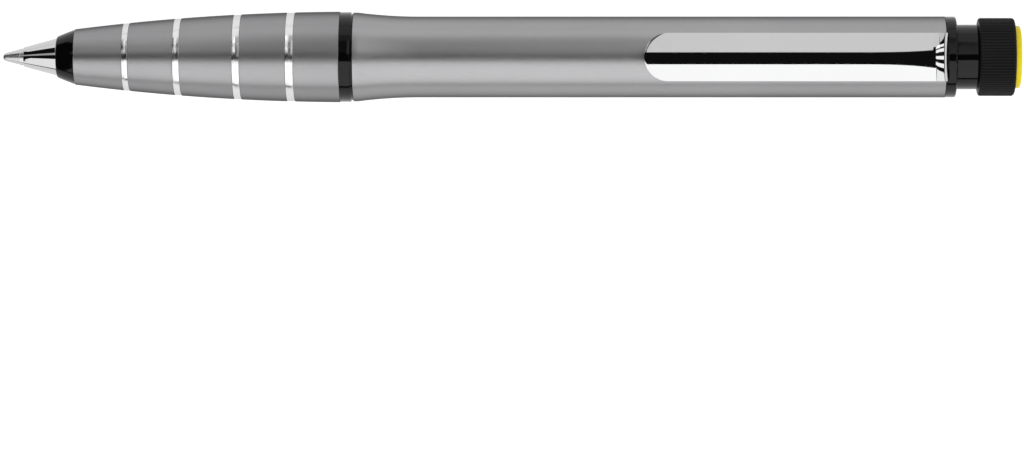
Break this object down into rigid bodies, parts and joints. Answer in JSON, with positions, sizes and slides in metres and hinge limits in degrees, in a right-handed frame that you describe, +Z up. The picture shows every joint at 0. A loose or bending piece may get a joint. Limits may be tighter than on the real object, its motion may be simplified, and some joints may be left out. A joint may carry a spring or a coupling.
{
  "type": "telescopic pen",
  "caption": "Twist-action ballpoint pen with a tapered ringed metal grip, sprung clip, knurled knob and a neck that pulls out to lengthen it.",
  "frame": {"origin": "On the pen's axis, halfway along the straight barrel between its flare and the clip, where a loop or holder grips it.", "axes": "+X along the pen from the writing point to the knob, +Z up through the clip, +Y across."},
  "size_m": [0.1324, 0.0118, 0.0139],
  "materials": {
    "bright_chrome": "mirror polished",
    "polished_ring": "bright turned",
    "satin_grip": "satin",
    "satin_barrel": "satin",
    "gloss_black": "gloss",
    "gloss_black_neck": "gloss",
    "matte_black": "matte",
    "yellow": "soft gloss",
    "refill_metal": "turned",
    "hard_metal": "polished",
    "ink": "thick ink",
    "white_plastic": "moulded",
    "brass": "turned",
    "steel": "drawn",
    "rubber": "matte"
  },
  "bodies": {
    "pen_body": {"nose_tip": "bright_chrome", "nose_cone": "gloss_black", "front_core": "brass", "grip_sleeve": "satin_grip", "grip_ring_1": "polished_ring", "grip_ring_2": "polished_ring", "grip_ring_3": "polished_ring", "grip_ring_4": "polished_ring", "joint_ring": "gloss_black", "barrel_insert": "brass", "barrel": "satin_barrel", "guide_sleeve": "gloss_black", "friction_ring": "rubber", "mechanism_housing": "white_plastic", "guide_tube": "white_plastic", "return_spring": "steel"},
    "refill": {"writing_ball": "hard_metal", "refill_tip": "refill_metal", "refill_tube": "refill_metal", "ink_column": "ink", "refill_plug": "white_plastic", "plunger": "white_plastic", "follower_pin": "steel"},
    "clip": {"clip": "bright_chrome", "clip_ball": "bright_chrome"},
    "drive_sleeve": {"drive_sleeve": "white_plastic"},
    "neck": {"neck_tube": "gloss_black_neck"},
    "knob": {"knob": "matte_black", "knob_ring": "steel", "end_insert": "yellow", "drive_rod": "steel"}
  },
  "joints": [
    {"name": "neck_slide", "type": "slide", "parent": "pen_body", "child": "neck", "axis": [1, 0, 0], "range_m": [0, 0.02]},
    {"name": "knob_twist", "type": "hinge", "parent": "neck", "child": "knob", "pos_m": [0.05775, 0, 0], "axis": [1, 0, 0], "range_deg": [0, 180]},
    {"name": "drive_turn", "type": "hinge", "parent": "pen_body", "child": "drive_sleeve", "pos_m": [0.02115, 0, 0], "axis": [1, 0, 0], "range_deg": [0, 180]},
    {"name": "refill_slide", "type": "slide", "parent": "pen_body", "child": "refill", "axis": [1, 0, 0], "range_m": [0, 0.0045], "deforming": ["return_spring"]},
    {"name": "clip_flex", "type": "hinge", "parent": "pen_body", "child": "clip", "pos_m": [0.05355, 0, 0.005], "axis": [0, 1, 0], "range_deg": [0, 5], "stiffness_Nm_per_rad": 3, "springref_deg": -0.57}
  ],
  "couplings": [
    {"joint": "knob_twist", "follows": "refill_slide", "rad_per_m": 698.13},
    {"joint": "drive_turn", "follows": "refill_slide", "rad_per_m": 698.13}
  ]
}
